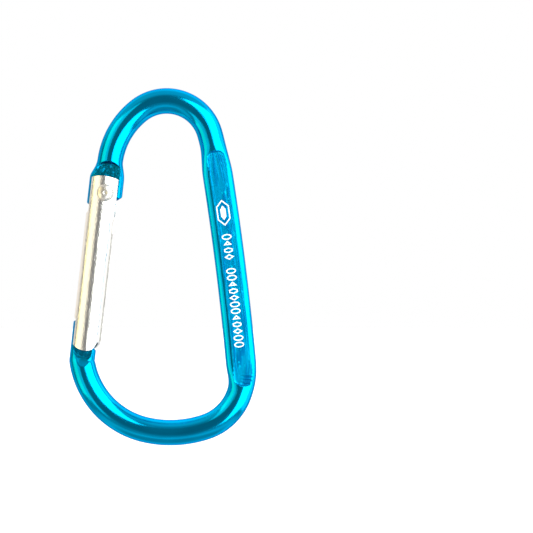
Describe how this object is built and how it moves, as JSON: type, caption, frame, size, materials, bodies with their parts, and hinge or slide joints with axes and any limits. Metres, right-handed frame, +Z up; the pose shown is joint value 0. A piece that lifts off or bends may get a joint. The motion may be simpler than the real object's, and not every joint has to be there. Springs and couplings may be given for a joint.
{
  "type": "accessory carabiner",
  "caption": "Bent round-bar accessory carabiner, D shaped, with a pressed flat spine and a sprung tube gate on one rivet.",
  "frame": {"origin": "top of the inside of the upper arch, midway through the thickness, where a hook carries the carabiner", "axes": "+Z up as the carabiner hangs; +X from the gate side towards the spine; the printed front face looks along -Y"},
  "size_m": [0.0422, 0.0081, 0.0799],
  "materials": {
    "anodised_turquoise": "bright anodised, turquoise blue",
    "natural_aluminium": "satin, drawn lengthwise",
    "rivet_metal": "upset, lightly dented",
    "spring_steel": "bright drawn wire",
    "dark_steel": "blackened",
    "white_print": "thin pad-printed ink"
  },
  "bodies": {
    "bar": {"frame": "anodised_turquoise"},
    "gate": {"gate_sleeve": "natural_aluminium", "pivot_rivet": "rivet_metal"},
    "pusher": {"gate_spring": "spring_steel", "spring_plunger": "dark_steel"}
  },
  "joints": [
    {"name": "gate_hinge", "type": "hinge", "parent": "bar", "child": "gate", "pos_m": [-0.01392, 0, -0.01766], "axis": [0, -1, 0], "range_deg": [0, 28], "stiffness_Nm_per_rad": 0.02, "springref_deg": -28.65},
    {"name": "pusher_tilt", "type": "hinge", "parent": "bar", "child": "pusher", "pos_m": [-0.01294, 0, -0.01866], "axis": [0, -1, 0], "range_deg": [0, 39], "deforming": ["gate_spring"]}
  ],
  "couplings": [
    {"joint": "pusher_tilt", "follows": "gate_hinge", "ratio": 1.39}
  ]
}
